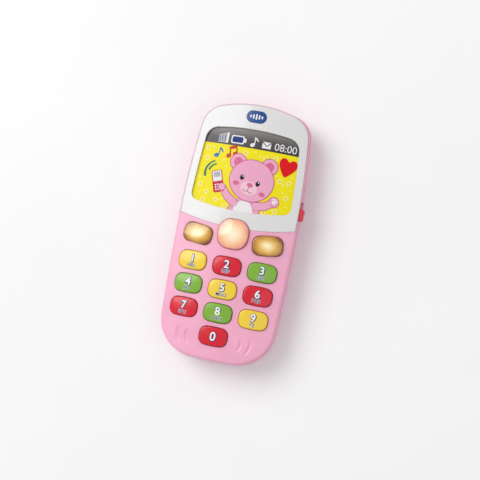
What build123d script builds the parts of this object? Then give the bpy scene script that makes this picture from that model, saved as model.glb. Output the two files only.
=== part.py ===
"""Toy cell phone for toddlers, lying on its back.

+Z points up through the screen and keys, +Y towards the earpiece end and +X to the right of someone
looking at the screen. The origin is on the table, at the centre of the flat back. Millimetres.
"""

import os
from math import atan2, cos, degrees, radians, sin, sqrt

from build123d import *

os.makedirs("parts", exist_ok=True)

# ---- Overall size ---------------------------------------------------------------------------------
LENGTH = 153.8
WIDTH = 72.2
THICKNESS = 25.0  # back to the middle of the crowned face, without the keys

# ---- Plan outline: two bowed sides, two crowned ends, four rounded corners --------------------------
WIDEST_Y = 8.0
UPPER_SIDE_RADIUS = 510.0
LOWER_SIDE_RADIUS = 1500.0
TOP_END_RADIUS = 82.0
BOTTOM_END_RADIUS = 180.0
TOP_CORNER_RADIUS = 15.0
BOTTOM_CORNER_RADIUS = 23.0

# ---- Crowned face: one arc across the phone swung about another along it ----------------------------
CROWN_ACROSS = 125.0
CROWN_ALONG = 2200.0

# ---- Casings ----------------------------------------------------------------------------------------
WALL = 2.0
PARTING_Z = 16.6
SHADOW_GAP = 0.5  # height of the groove between the two casings
BACK_ROUND = 14.0
RIM_ROUND = 1.1
FRONT_INSET = 0.75  # the front casing steps in from the rear one
FACE_ROUND = 1.8
TONGUE_DEPTH = 1.8
TONGUE_THICKNESS = 1.0
SLIP = 0.15  # clearance between parts that only locate each other

# ---- Faceplate, screen and badge --------------------------------------------------------------------
PLATE_INSET = 1.45
PLATE_THICKNESS = 1.4
PLATE_EDGE_Y = 2.0  # lowest point of the faceplate's curved lower edge
PLATE_EDGE_RADIUS = 132.0
SHELF_DEPTH = PLATE_THICKNESS + 0.25
SHELF_THICKNESS = 1.5
SHELF_OVERLAP = 1.4  # how far the shelf runs past the faceplate's lower edge
SCREEN_INSET = 5.9
SCREEN_TOP_Y = 61.0
SCREEN_TOP_RADIUS = 170.0
SCREEN_BOTTOM_GAP = 9.8  # between the screen and the faceplate's lower edge
SCREEN_TOP_CORNER = 7.6
SCREEN_BOTTOM_CORNER = 4.5
LENS_RECESS = 0.3
LENS_BOTTOM = 1.0
LENS_GAP = 0.08
CARD_MARGIN = 1.4
CARD_TOP = 1.42
CARD_BOTTOM = 1.62
BADGE_Y = 68.5
BADGE_LENGTH = 12.0
BADGE_WIDTH = 7.2
BADGE_DEPTH = 0.6
BADGE_PROUD = 0.25

# ---- Keys -------------------------------------------------------------------------------------------
COLUMN_PITCH = 20.8
ROW_Y = (-20.7, -34.4, -48.3, -62.0)
KEY_WIDTH = 16.6
KEY_HEIGHT = 10.8
KEY_CORNER = 4.0
KEY_BOW = 0.55  # how far each side bulges past a straight one
KEY_RISE = 1.6
KEY_DOME_RADIUS = 55.0
KEY_EDGE_ROUND = 0.9
KEY_GAP = 0.4
KEY_TRAVEL = 1.1
FLANGE_WIDTH = 0.9
FLANGE_THICKNESS = 0.8
FLANGE_DEPTH = WALL + 0.1
CAP_WALL = 1.7
POST_RADIUS = 1.8

LIGHT_KEY_X = 20.9
LIGHT_KEY_Y = -4.8
LIGHT_KEY_WIDTH = 17.4
LIGHT_KEY_HEIGHT = 11.4
LIGHT_KEY_TILT = 7.0  # each side key leans along the faceplate's edge
LIGHT_KEY_RISE = 2.0
CENTRE_KEY_Y = -1.7
CENTRE_KEY_WIDTH = 18.0
CENTRE_KEY_HEIGHT = 17.3
CENTRE_KEY_CORNER = 7.0
CENTRE_KEY_RISE = 2.8
CENTRE_KEY_DOME = 32.0
LIGHT_POST_X = 5.6  # posts stand each side of the lamp

# ---- Grip marks below the keypad --------------------------------------------------------------------
# The upper end, the middle and the lower end of each groove on the right
MARKS = [
    ((15.4, -60.0), (16.5, -63.2), (14.3, -68.3)),
    ((21.1, -59.1), (22.0, -63.3), (19.1, -69.3)),
]
MARK_BALL_RADIUS = 1.6
MARK_DEPTH = 0.5

# ---- Circuit board and rubber key sheet -------------------------------------------------------------
BOARD_BOTTOM = 14.0
BOARD_THICKNESS = 1.6
BOARD_TOP = BOARD_BOTTOM + BOARD_THICKNESS
BOARD_HALF_WIDTH = 31.0
BOARD_HIGH_Y = 30.0
BOARD_LOW_Y = -60.4
BOARD_TAIL_Y = -70.0
BOARD_TAIL_HALF_WIDTH = 12.5
BOARD_CORNER = 5.0
SHEET_THICKNESS = 0.6
SHEET_TOP = BOARD_TOP + SHEET_THICKNESS
DOME_TOP = 17.9
DOME_FOOT_RADIUS = 3.3
DOME_TOP_RADIUS = 2.3
POST_BOTTOM = DOME_TOP + 0.05
LAMP_RADIUS = 1.5
LAMP_FLANGE_RADIUS = 1.9
LAMP_FLANGE_HEIGHT = 1.0
LAMP_TOP = 19.6
BOARD_SCREWS = [(x, y) for x in (-27.0, 27.0) for y in (-57.6, 8.6)]
BOARD_SCREW_RADIUS = 1.0
BOARD_SCREW_HEAD_RADIUS = 1.9
BOARD_SCREW_TIP = 18.2
BOARD_POST_RADIUS = 2.1

# ---- Casing screws ----------------------------------------------------------------------------------
CASING_SCREWS = [(-20.5, -65.5), (20.5, -65.5), (-22.0, 63.0), (22.0, 63.0), (0.0, 15.5)]
BOSS_RADIUS = 3.1
BOSS_MEET = 11.0
SCREW_SEAT = 4.5  # how far the screw heads sit up inside the back
SCREW_RADIUS = 1.3
SCREW_HOLE_RADIUS = 1.5
SCREW_HEAD_RADIUS = 2.4
SCREW_HEAD_HEIGHT = 1.8
SCREW_WELL_RADIUS = 2.7
SCREW_TIP = 15.5

# ---- Battery compartment and door -------------------------------------------------------------------
BATTERY_RADIUS = 5.25
BATTERY_BODY = 43.3
BATTERY_NUB = 0.9
BATTERY_NUB_RADIUS = 1.9
BATTERY_X = 5.5
BATTERY_Z = 7.3
BAY_HALF_WIDTH = 11.6
BAY_LOW_Y = -58.4
BAY_HIGH_Y = -6.2
BAY_TOP = 12.7
BAY_WALL = 1.1
DOOR_HALF_WIDTH = 14.5
DOOR_LOW_Y = -63.5
DOOR_HIGH_Y = 6.4
DOOR_CORNER = 2.5
DOOR_GAP = 0.25
DOOR_THICKNESS = 1.7
DOOR_LIFT = 0.15  # the door sits this far inside the back's plane
DOOR_SCREW_Y = 0.6
DOOR_BOSS_TOP = 10.0
DOOR_SCREW_TIP = 5.6
DOOR_SCREW_RADIUS = 1.25
DOOR_SCREW_HEAD_RADIUS = 2.4
DOOR_SCREW_WELL_RADIUS = 2.7
DOOR_SCREW_SEAT = 1.2
DOOR_SCREW_BORE = 1.65
TAB_X = 8.0
TAB_WIDTH = 5.0
TAB_REACH = 1.8  # how far each hook runs past the door's end
TAB_BASE = 0.9
TAB_LIFT = 0.35  # clears the edge of the back under it
TAB_THICKNESS = 1.2
CONTACT_THICKNESS = 0.4
WIRE_HOLE_X = 8.6
WIRE_HOLE_Z = 10.4
WIRE_HOLE_RADIUS = 0.7
BRIDGE_LIP = 2.2
SPRING_WIRE = 0.55
SPRING_TURNS = 5
SPRING_FOOT_RADIUS = 3.6
SPRING_TIP_RADIUS = 2.4

# ---- Speaker ----------------------------------------------------------------------------------------
SPEAKER_Y = 43.0
SPEAKER_RADIUS = 14.0
SPEAKER_RIM_BOTTOM = 3.2
SPEAKER_RIM_HEIGHT = 1.6
SPEAKER_BASKET_RADIUS = 11.0
SPEAKER_BASKET_TOP = 8.2
MAGNET_RADIUS = 7.6
MAGNET_TOP = 11.4
GRILLE_PITCH = 3.6
GRILLE_HOLE_RADIUS = 1.1
CLAMP_EAR_RADIUS = 2.4
CLAMP_SCREW_RADIUS = 0.9
CLAMP_RADIUS = 18.2  # distance of the two clamp screws from the speaker's centre

# ---- Volume switch on the right side ----------------------------------------------------------------
SWITCH_Y = 16.8
SWITCH_TRAVEL = 4.0
KNOB_LENGTH = 6.4
KNOB_BOTTOM = 13.4
KNOB_STEM_TOP = 17.3
KNOB_TOP = 19.2
KNOB_CAP_X = 34.85  # the cap stands up past the stem from here outwards
KNOB_OUT = WIDTH / 2 + 1.4
KNOB_ROUND = 0.9
NOTCH_GAP = 0.4
HOOD_X = 34.5  # inner side of the slot in the face's edge
RETAINER_INNER_X = 32.45
RETAINER_OUTER_X = 33.3
RETAINER_HALF_LENGTH = 5.7
RETAINER_BOTTOM = 12.0
FORK_INNER_X = 30.75
FORK_SLOT = 1.7
PRONG = 1.2
LEVER_WIDTH = 1.4
LEVER_LOW_Z = 12.3
LEVER_HIGH_Z = 13.3
LEVER_TIP_X = 32.05
SWITCH_BODY_X = (24.95, 29.95)
SWITCH_BODY_LENGTH = 12.0
SWITCH_BODY_Z = (10.2, 13.95)


# =====================================================================================================
# Shared shapes
# =====================================================================================================
def meeting(side_radius, end_radius, end, inset):
    """Where a side arc meets an end arc, on the right; end is +1 for the top and -1 for the bottom."""
    side_centre = Vector(WIDTH / 2 - side_radius, WIDEST_Y)
    end_centre = Vector(0, end * (LENGTH / 2 - end_radius))
    side_radius, end_radius = side_radius - inset, end_radius - inset
    between = end_centre - side_centre
    gap = between.length
    along = (side_radius**2 - end_radius**2 + gap**2) / (2 * gap)
    across = sqrt(side_radius**2 - along**2)
    foot = side_centre + between * (along / gap)
    step = Vector(-between.Y, between.X) * (across / gap)
    return max(foot + step, foot - step, key=lambda point: end * point.Y)


def outline(inset=0.0):
    """The phone's plan shape, shrunk all round by inset."""
    top_right = meeting(UPPER_SIDE_RADIUS, TOP_END_RADIUS, 1, inset)
    low_right = meeting(LOWER_SIDE_RADIUS, BOTTOM_END_RADIUS, -1, inset)
    top_left = Vector(-top_right.X, top_right.Y)
    low_left = Vector(-low_right.X, low_right.Y)
    wide_right = Vector(WIDTH / 2 - inset, WIDEST_Y)
    wide_left = Vector(-wide_right.X, WIDEST_Y)
    with BuildSketch() as plan:
        with BuildLine():
            ThreePointArc(top_left, (0, LENGTH / 2 - inset), top_right)
            RadiusArc(top_right, wide_right, UPPER_SIDE_RADIUS - inset)
            RadiusArc(wide_right, low_right, LOWER_SIDE_RADIUS - inset)
            ThreePointArc(low_right, (0, inset - LENGTH / 2), low_left)
            RadiusArc(low_left, wide_left, LOWER_SIDE_RADIUS - inset)
            RadiusArc(wide_left, top_left, UPPER_SIDE_RADIUS - inset)
        make_face()
        fillet(plan.vertices().group_by(Axis.Y)[-1], TOP_CORNER_RADIUS - inset)
        fillet(plan.vertices().group_by(Axis.Y)[0], BOTTOM_CORNER_RADIUS - inset)
    return plan.sketch


def under_crown(depth=0.0):
    """Everything below the crowned face, sunk into the phone by depth."""
    reach = 95.0
    radius = CROWN_ALONG - depth
    edge = sqrt(radius**2 - reach**2) - CROWN_ALONG + CROWN_ACROSS
    floor = CROWN_ACROSS - 50.0
    swing = 25.0
    side = Plane(
        origin=(0, 0, THICKNESS - CROWN_ACROSS),
        x_dir=(0, 1, 0),
        z_dir=(cos(radians(swing)), 0, sin(radians(swing))),
    )
    with BuildPart() as block:
        with BuildSketch(side):
            with BuildLine():
                ThreePointArc((-reach, edge), (0, CROWN_ACROSS - depth), (reach, edge))
                Polyline((reach, edge), (reach, floor), (-reach, floor), (-reach, edge))
            make_face()
        revolve(axis=Axis((0, 0, THICKNESS - CROWN_ACROSS), (0, 1, 0)), revolution_arc=2 * swing)
    return block.part


def crown_point(x, y, depth=0.0):
    """The point of the crowned face over (x, y), about depth below its surface."""
    along = sqrt((CROWN_ALONG - depth) ** 2 - y**2) - CROWN_ALONG + CROWN_ACROSS
    return Vector(x, y, THICKNESS - CROWN_ACROSS + sqrt(along**2 - x**2))


def slab(plan, low, high):
    """A plan shape as a plate between two heights."""
    with BuildPart() as plate:
        with BuildSketch(Plane.XY.offset(low)):
            add(plan)
        extrude(amount=high - low)
    return plate.part


def tub(inset, low, high, edge_round):
    """A solid block of the phone's plan with its lower edge rounded."""
    with BuildPart() as block:
        add(slab(outline(inset), low, high))
        fillet(block.faces().sort_by(Axis.Z)[0].edges(), edge_round)
    return block.part


def plate_region(grow=0.0):
    """The area above the faceplate's curved lower edge, moved down by grow."""
    radius = PLATE_EDGE_RADIUS + grow
    middle = Vector(0, PLATE_EDGE_Y + PLATE_EDGE_RADIUS)
    half = WIDTH / 2 + 5.0
    rise = sqrt(radius**2 - half**2)
    with BuildSketch() as area:
        with BuildLine():
            ThreePointArc((-half, middle.Y - rise), (0, middle.Y - radius), (half, middle.Y - rise))
            Polyline((half, middle.Y - rise), (half, LENGTH), (-half, LENGTH), (-half, middle.Y - rise))
        make_face()
    return area.sketch


def screen_plan(grow=0.0):
    """The screen: bowed sides, a crowned top and a bottom that follows the faceplate's edge."""
    with BuildSketch() as window:
        add(outline(SCREEN_INSET - grow))
        with Locations((0, SCREEN_TOP_Y - SCREEN_TOP_RADIUS)):
            Circle(SCREEN_TOP_RADIUS + grow, mode=Mode.INTERSECT)
        with Locations((0, PLATE_EDGE_Y + PLATE_EDGE_RADIUS)):
            Circle(PLATE_EDGE_RADIUS - SCREEN_BOTTOM_GAP + grow, mode=Mode.INTERSECT)
        fillet(window.vertices().group_by(Axis.Y)[-1], SCREEN_TOP_CORNER + grow)
        fillet(window.vertices().group_by(Axis.Y)[0], SCREEN_BOTTOM_CORNER + grow)
    return window.sketch


def bowed_radius(half_chord, bow):
    return (half_chord**2 + bow**2) / (2 * bow)


def pillow(width, height, corner, bow, grow=0.0):
    """A rounded rectangle whose four sides bulge by bow, grown all round by grow."""
    long_radius = bowed_radius(width / 2 - bow, bow)
    short_radius = bowed_radius(height / 2 - bow, bow)
    with BuildSketch() as shape:
        Rectangle(width + 2 * grow, height + 2 * grow)
        for side in (-1, 1):
            with Locations((0, side * (height / 2 - long_radius))):
                Circle(long_radius + grow, mode=Mode.INTERSECT)
            with Locations((side * (width / 2 - short_radius), 0)):
                Circle(short_radius + grow, mode=Mode.INTERSECT)
        fillet(shape.vertices(), corner + grow)
    return shape.sketch


def number_key_plan(x, y, grow=0.0):
    with BuildSketch() as plan:
        with Locations((x, y)):
            add(pillow(KEY_WIDTH, KEY_HEIGHT, KEY_CORNER, KEY_BOW, grow))
    return plan.sketch


def side_light_plan(side, grow=0.0):
    """A side light key: it leans along the faceplate's edge, and its outer corners are rounder."""
    with BuildSketch() as plan:
        with Locations(Location((side * LIGHT_KEY_X, LIGHT_KEY_Y), side * LIGHT_KEY_TILT)):
            add(pillow(LIGHT_KEY_WIDTH, LIGHT_KEY_HEIGHT, KEY_CORNER, KEY_BOW, grow))
    return plan.sketch


def centre_light_plan(grow=0.0):
    with BuildSketch() as plan:
        with Locations((0, CENTRE_KEY_Y)):
            add(pillow(CENTRE_KEY_WIDTH, CENTRE_KEY_HEIGHT, CENTRE_KEY_CORNER, KEY_BOW, grow))
    return plan.sketch


def left_light_plan(grow=0.0):
    return side_light_plan(-1, grow)


def right_light_plan(grow=0.0):
    return side_light_plan(1, grow)


def badge_plan(grow=0.0):
    with BuildSketch() as plan:
        with Locations((0, BADGE_Y)):
            SlotOverall(BADGE_LENGTH + 2 * grow, BADGE_WIDTH + 2 * grow)
    return plan.sketch


def grip_groove(upper, middle, lower):
    """A round-bottomed groove, deepest in the middle, that runs out at both ends."""
    above_face = [MARK_BALL_RADIUS, MARK_BALL_RADIUS - MARK_DEPTH, MARK_BALL_RADIUS]
    points = [crown_point(*place) + Vector(0, 0, rise) for place, rise in zip((upper, middle, lower), above_face)]
    with BuildPart() as groove:
        with BuildLine() as path:
            ThreePointArc(*points)
        with BuildSketch(path.line ^ 0):
            Circle(MARK_BALL_RADIUS)
        sweep()
    return groove.part


def key_centres():
    """Every number key's digit and centre, as on a telephone."""
    centres = {}
    for digit in range(1, 10):
        row, column = divmod(digit - 1, 3)
        centres[digit] = ((column - 1) * COLUMN_PITCH, ROW_Y[row])
    centres[0] = (0.0, ROW_Y[3])
    return centres


KEYS = key_centres()
LIGHT_PLANS = (left_light_plan, centre_light_plan, right_light_plan)
LIGHT_POSTS = {
    "left": [(-LIGHT_KEY_X - LIGHT_POST_X, LIGHT_KEY_Y), (-LIGHT_KEY_X + LIGHT_POST_X, LIGHT_KEY_Y)],
    "right": [(LIGHT_KEY_X - LIGHT_POST_X, LIGHT_KEY_Y), (LIGHT_KEY_X + LIGHT_POST_X, LIGHT_KEY_Y)],
    "centre": [(-LIGHT_POST_X, CENTRE_KEY_Y), (LIGHT_POST_X, CENTRE_KEY_Y)],
}
LAMPS = {
    "left": (-LIGHT_KEY_X, LIGHT_KEY_Y),
    "right": (LIGHT_KEY_X, LIGHT_KEY_Y),
    "centre": (0.0, CENTRE_KEY_Y),
}
FACE = under_crown()
FLANGE_TOP = under_crown(FLANGE_DEPTH)
FLANGE_BOTTOM = under_crown(FLANGE_DEPTH + FLANGE_THICKNESS)
PLATE_BOTTOM = under_crown(PLATE_THICKNESS)
SHELF_TOP = under_crown(SHELF_DEPTH)
SHELF_BOTTOM = under_crown(SHELF_DEPTH + SHELF_THICKNESS)
FACE_BOTTOM = PARTING_Z + SHADOW_GAP


def front_block():
    """The solid block of the front half: stepped-in sides, crowned face, rounded face edge."""
    with BuildPart() as block:
        add(slab(outline(FRONT_INSET), FACE_BOTTOM, THICKNESS + 5))
        add(FACE, mode=Mode.INTERSECT)
        rim = block.faces().sort_by(Axis.Z)[-1].edges()
        fillet(rim, FACE_ROUND)
    return block.part


FRONT_BLOCK = front_block()


def save(part, name):
    part.label = name
    export_step(part, f"parts/{name}.step")
    print(name, len(part.solids()), round(part.volume, 1))


# =====================================================================================================
# Rear casing
# =====================================================================================================
UP = (Align.CENTER, Align.CENTER, Align.MIN)
KNOB_LOW_Y = SWITCH_Y - KNOB_LENGTH / 2
KNOB_HIGH_Y = SWITCH_Y + KNOB_LENGTH / 2
NOTCH_LOW_Y = KNOB_LOW_Y - NOTCH_GAP
NOTCH_HIGH_Y = KNOB_HIGH_Y + SWITCH_TRAVEL + NOTCH_GAP
NOTCH_MIDDLE_Y = (NOTCH_LOW_Y + NOTCH_HIGH_Y) / 2
NOTCH_LENGTH = NOTCH_HIGH_Y - NOTCH_LOW_Y
BAY_MIDDLE_Y = (BAY_LOW_Y + BAY_HIGH_Y) / 2
BAY_LENGTH = BAY_HIGH_Y - BAY_LOW_Y
DOOR_MIDDLE_Y = (DOOR_LOW_Y + DOOR_HIGH_Y) / 2
DOOR_LENGTH = DOOR_HIGH_Y - DOOR_LOW_Y
HOOK_SLOT_HIGH_Y = BAY_LOW_Y - BAY_WALL
HOOK_SLOT_LOW_Y = DOOR_LOW_Y - TAB_REACH - 0.6
SPEAKER_RIM_TOP = SPEAKER_RIM_BOTTOM + SPEAKER_RIM_HEIGHT
RIGHT = (Align.MIN, Align.CENTER, Align.MIN)


def grille_points():
    """Centres of the speaker's sound holes: one in the middle and three hexagonal rings."""
    points = []
    for row in range(-3, 4):
        for place in range(-3, 4):
            if abs(row + place) <= 3:
                points.append((GRILLE_PITCH * (place + row / 2), GRILLE_PITCH * row * sqrt(3) / 2))
    return points


BACK_BLOCK = tub(0.0, 0.0, PARTING_Z, BACK_ROUND)

with BuildPart() as rear_bosses:
    with Locations(*[(x, y, 0) for x, y in CASING_SCREWS]):
        Cylinder(BOSS_RADIUS, BOSS_MEET, align=UP)
    add(BACK_BLOCK, mode=Mode.INTERSECT)

with BuildPart() as rear_casing:
    add(BACK_BLOCK)
    fillet(rear_casing.faces().sort_by(Axis.Z)[-1].edges(), RIM_ROUND)
    add(tub(WALL, WALL, PARTING_Z + 1.0, BACK_ROUND - WALL), mode=Mode.SUBTRACT)
    # Battery bay: a closed box standing on the back, with a wider foot round the door
    with Locations((0, BAY_MIDDLE_Y, WALL)):
        Box(2 * (BAY_HALF_WIDTH + BAY_WALL), BAY_LENGTH + 2 * BAY_WALL, BAY_TOP + BAY_WALL - WALL, align=UP)
    with Locations((0, DOOR_MIDDLE_Y, WALL)):
        Box(2 * (DOOR_HALF_WIDTH + BAY_WALL), DOOR_LENGTH + 2 * BAY_WALL, BAY_WALL, align=UP)
    with Locations((0, DOOR_SCREW_Y, WALL)):
        Cylinder(BOSS_RADIUS, DOOR_BOSS_TOP - WALL, align=UP)
    with Locations((0, BAY_MIDDLE_Y, 0)):
        Box(2 * BAY_HALF_WIDTH, BAY_LENGTH, BAY_TOP, align=UP, mode=Mode.SUBTRACT)
    with BuildSketch():
        with Locations((0, DOOR_MIDDLE_Y)):
            RectangleRounded(2 * DOOR_HALF_WIDTH, DOOR_LENGTH, DOOR_CORNER)
    extrude(amount=WALL, mode=Mode.SUBTRACT)
    with Locations((0, DOOR_SCREW_Y, 0)):
        Cylinder(DOOR_SCREW_BORE, DOOR_BOSS_TOP - 1.5, align=UP, mode=Mode.SUBTRACT)
    # Slots in the foot for the door's two hooks
    with Locations(*[(side * TAB_X, (HOOK_SLOT_LOW_Y + HOOK_SLOT_HIGH_Y) / 2, WALL) for side in (-1, 1)]):
        Box(TAB_WIDTH + 1.0, HOOK_SLOT_HIGH_Y - HOOK_SLOT_LOW_Y, 3.0, align=UP, mode=Mode.SUBTRACT)
    # Holes in the bay's end wall for the battery wires
    with Locations(*[Location((side * WIRE_HOLE_X, BAY_HIGH_Y, WIRE_HOLE_Z), (90, 0, 0)) for side in (-1, 1)]):
        Cylinder(WIRE_HOLE_RADIUS, 3 * BAY_WALL, mode=Mode.SUBTRACT)
    # Screw bosses, each with a well for the screw's head
    add(rear_bosses.part)
    with Locations(*[(x, y, 0) for x, y in CASING_SCREWS]):
        Cylinder(SCREW_HOLE_RADIUS, BOSS_MEET, align=UP, mode=Mode.SUBTRACT)
        Cylinder(SCREW_WELL_RADIUS, SCREW_SEAT, align=UP, mode=Mode.SUBTRACT)
    # Speaker ring, its ledge and its two screw posts
    with BuildSketch(Plane.XY.offset(WALL)):
        with Locations((0, SPEAKER_Y)):
            Circle(SPEAKER_RADIUS + SLIP + 1.2)
            Circle(SPEAKER_RADIUS + SLIP, mode=Mode.SUBTRACT)
    extrude(amount=SPEAKER_RIM_TOP - WALL)
    with BuildSketch(Plane.XY.offset(WALL)):
        with Locations((0, SPEAKER_Y)):
            Circle(SPEAKER_RADIUS + SLIP)
            Circle(SPEAKER_RADIUS - 1.5, mode=Mode.SUBTRACT)
    extrude(amount=SPEAKER_RIM_BOTTOM - WALL)
    with Locations(*[(side * CLAMP_RADIUS, SPEAKER_Y, WALL) for side in (-1, 1)]):
        Cylinder(CLAMP_EAR_RADIUS, SPEAKER_RIM_TOP - WALL, align=UP)
        Cylinder(CLAMP_SCREW_RADIUS, SPEAKER_RIM_TOP - WALL, align=UP, mode=Mode.SUBTRACT)
    with Locations(*[(x, SPEAKER_Y + y, 0) for x, y in grille_points()]):
        Cylinder(GRILLE_HOLE_RADIUS, WALL, align=UP, mode=Mode.SUBTRACT)
    # Notch in the rim for the volume knob
    with Locations((RETAINER_INNER_X, NOTCH_MIDDLE_Y, KNOB_BOTTOM - NOTCH_GAP)):
        Box(WIDTH, NOTCH_LENGTH, PARTING_Z, align=RIGHT, mode=Mode.SUBTRACT)
save(rear_casing.part, "rear_casing")

# =====================================================================================================
# Front casing
# =====================================================================================================
COLUMN = (BOSS_MEET, THICKNESS + 10.0)  # heights between which every plan shape is pulled up or cut away


def column(plan):
    return slab(plan, *COLUMN)


def layer(plan, ceiling=None, floor=None):
    """A plan shape pulled up through the front half, under one block's top and over another's."""
    with BuildPart() as kept:
        add(column(plan))
        if ceiling is not None:
            add(ceiling, mode=Mode.INTERSECT)
        if floor is not None:
            add(floor, mode=Mode.SUBTRACT)
    return kept.part


def plate_recess_plan():
    with BuildSketch() as plan:
        add(outline(PLATE_INSET - SLIP))
        add(plate_region(SLIP), mode=Mode.INTERSECT)
    return plan.sketch


# The hollow under the face is shallower where the shelf carries the faceplate
with BuildPart() as front_inside:
    add(layer(outline(FRONT_INSET + WALL), ceiling=under_crown(WALL)))
    add(layer(plate_region(SHELF_OVERLAP), floor=SHELF_BOTTOM), mode=Mode.SUBTRACT)
    for plan in LIGHT_PLANS:
        add(layer(plan(FLANGE_WIDTH + KEY_GAP), ceiling=under_crown(WALL)))

with BuildPart() as grip_marks:
    for ends in MARKS:
        for side in (-1, 1):
            add(grip_groove(*[(side * x, y) for x, y in ends]))

# Posts for the casing screws and the circuit board's screws
with BuildPart() as front_posts:
    with Locations(*[(x, y, BOSS_MEET) for x, y in CASING_SCREWS]):
        Cylinder(BOSS_RADIUS - 0.3, THICKNESS, align=UP)
    with Locations(*[(x, y, BOARD_TOP) for x, y in BOARD_SCREWS]):
        Cylinder(BOARD_POST_RADIUS, THICKNESS, align=UP)
    add(under_crown(WALL - 0.2), mode=Mode.INTERSECT)
    with Locations(*[(x, y, BOSS_MEET) for x, y in CASING_SCREWS]):
        Cylinder(SCREW_RADIUS, SCREW_TIP + 0.3 - BOSS_MEET, align=UP, mode=Mode.SUBTRACT)
    with Locations(*[(x, y, BOARD_TOP) for x, y in BOARD_SCREWS]):
        Cylinder(BOARD_SCREW_RADIUS, BOARD_SCREW_TIP + 0.1 - BOARD_TOP, align=UP, mode=Mode.SUBTRACT)

with BuildPart() as front_casing:
    add(FRONT_BLOCK)
    add(front_inside.part, mode=Mode.SUBTRACT)
    add(layer(plate_recess_plan(), floor=SHELF_TOP), mode=Mode.SUBTRACT)
    # Tongue that drops inside the rear casing, open where the volume knob passes
    with BuildSketch(Plane.XY.offset(PARTING_Z - TONGUE_DEPTH)):
        add(outline(WALL + SLIP))
        add(outline(WALL + SLIP + TONGUE_THICKNESS), mode=Mode.SUBTRACT)
    extrude(amount=TONGUE_DEPTH + SHADOW_GAP + 0.6)
    with Locations((FORK_INNER_X, NOTCH_MIDDLE_Y, 0)):
        Box(WIDTH, NOTCH_LENGTH, KNOB_STEM_TOP + NOTCH_GAP, align=RIGHT, mode=Mode.SUBTRACT)
        Box(RETAINER_OUTER_X + 0.6 - FORK_INNER_X, 2 * RETAINER_HALF_LENGTH + SWITCH_TRAVEL + 1.0,
            KNOB_STEM_TOP + NOTCH_GAP, align=RIGHT, mode=Mode.SUBTRACT)
    with Locations((HOOD_X, NOTCH_MIDDLE_Y, 0)):
        Box(WIDTH, NOTCH_LENGTH, KNOB_TOP + NOTCH_GAP, align=RIGHT, mode=Mode.SUBTRACT)
    add(front_posts.part)
    add(grip_marks.part, mode=Mode.SUBTRACT)
    # Key windows
    for x, y in KEYS.values():
        add(column(number_key_plan(x, y, KEY_GAP)), mode=Mode.SUBTRACT)
    for plan in LIGHT_PLANS:
        add(column(plan(KEY_GAP)), mode=Mode.SUBTRACT)
save(front_casing.part, "front_casing")

# =====================================================================================================
# Faceplate, screen and badge
# =====================================================================================================
BADGE_POINT = crown_point(0, BADGE_Y)

with BuildPart() as faceplate:
    add(FRONT_BLOCK)
    add(column(outline(PLATE_INSET)), mode=Mode.INTERSECT)
    add(column(plate_region()), mode=Mode.INTERSECT)
    add(PLATE_BOTTOM, mode=Mode.SUBTRACT)
    add(column(screen_plan()), mode=Mode.SUBTRACT)
    add(column(centre_light_plan(KEY_GAP)), mode=Mode.SUBTRACT)
    add(layer(badge_plan(SLIP / 2), floor=under_crown(BADGE_DEPTH)), mode=Mode.SUBTRACT)
save(faceplate.part, "faceplate")

with BuildPart() as screen_lens:
    add(column(screen_plan(-LENS_GAP)))
    add(under_crown(LENS_RECESS), mode=Mode.INTERSECT)
    add(under_crown(LENS_BOTTOM), mode=Mode.SUBTRACT)
save(screen_lens.part, "screen_lens")

with BuildPart() as screen_card:
    add(column(screen_plan(CARD_MARGIN)))
    add(under_crown(CARD_TOP), mode=Mode.INTERSECT)
    add(under_crown(CARD_BOTTOM), mode=Mode.SUBTRACT)
save(screen_card.part, "screen_card")

with BuildPart() as badge:
    add(column(badge_plan()))
    add(under_crown(-BADGE_PROUD), mode=Mode.INTERSECT)
    add(under_crown(BADGE_DEPTH - 0.02), mode=Mode.SUBTRACT)
    fillet(badge.faces().sort_by(Axis.Z)[-1].edges(), 0.2)
save(badge.part, "badge")

# =====================================================================================================
# Keys
# =====================================================================================================
def crown_normal(x, y):
    return Vector(x / CROWN_ACROSS, y / CROWN_ALONG, sqrt(1 - (x / CROWN_ACROSS) ** 2 - (y / CROWN_ALONG) ** 2))


def inside_ball(shape, ball, radius):
    """The part of a shape inside a sphere."""
    with BuildPart() as kept:
        add(shape)
        with Locations(tuple(ball)):
            Sphere(radius, mode=Mode.INTERSECT)
    return kept.part


def pegs(posts, radius, bottom):
    """Upright pegs at the given places, longer than the phone is thick."""
    with BuildPart() as group:
        with Locations(*[(x, y, bottom) for x, y in posts]):
            Cylinder(radius, THICKNESS, align=UP)
    return group.part


def key(plan, centre, rise, dome, posts):
    """A hollow key: domed cap square to the face, flange that keeps it in, posts that press the rubber."""
    x, y = centre
    ball = crown_point(x, y) + crown_normal(x, y) * (rise - dome)
    with BuildPart() as cap:
        add(inside_ball(column(plan()), ball, dome))
        add(FLANGE_BOTTOM, mode=Mode.SUBTRACT)
        fillet(cap.faces().filter_by(GeomType.SPHERE).edges(), KEY_EDGE_ROUND)
        add(layer(plan(FLANGE_WIDTH), FLANGE_TOP, FLANGE_BOTTOM))
        add(inside_ball(column(plan(-CAP_WALL)), ball, dome - CAP_WALL), mode=Mode.SUBTRACT)
        add(inside_ball(pegs(posts, POST_RADIUS, POST_BOTTOM), ball, dome - CAP_WALL / 2))
    return cap.part


for digit, (x, y) in KEYS.items():
    with BuildPart() as number_key:
        add(key(lambda grow=0.0: number_key_plan(x, y, grow), (x, y), KEY_RISE, KEY_DOME_RADIUS, [(x, y)]))
    save(number_key.part, f"key_{digit}")

with BuildPart() as light_key_left:
    add(key(left_light_plan, LAMPS["left"], LIGHT_KEY_RISE, KEY_DOME_RADIUS, LIGHT_POSTS["left"]))
save(light_key_left.part, "light_key_left")

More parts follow.
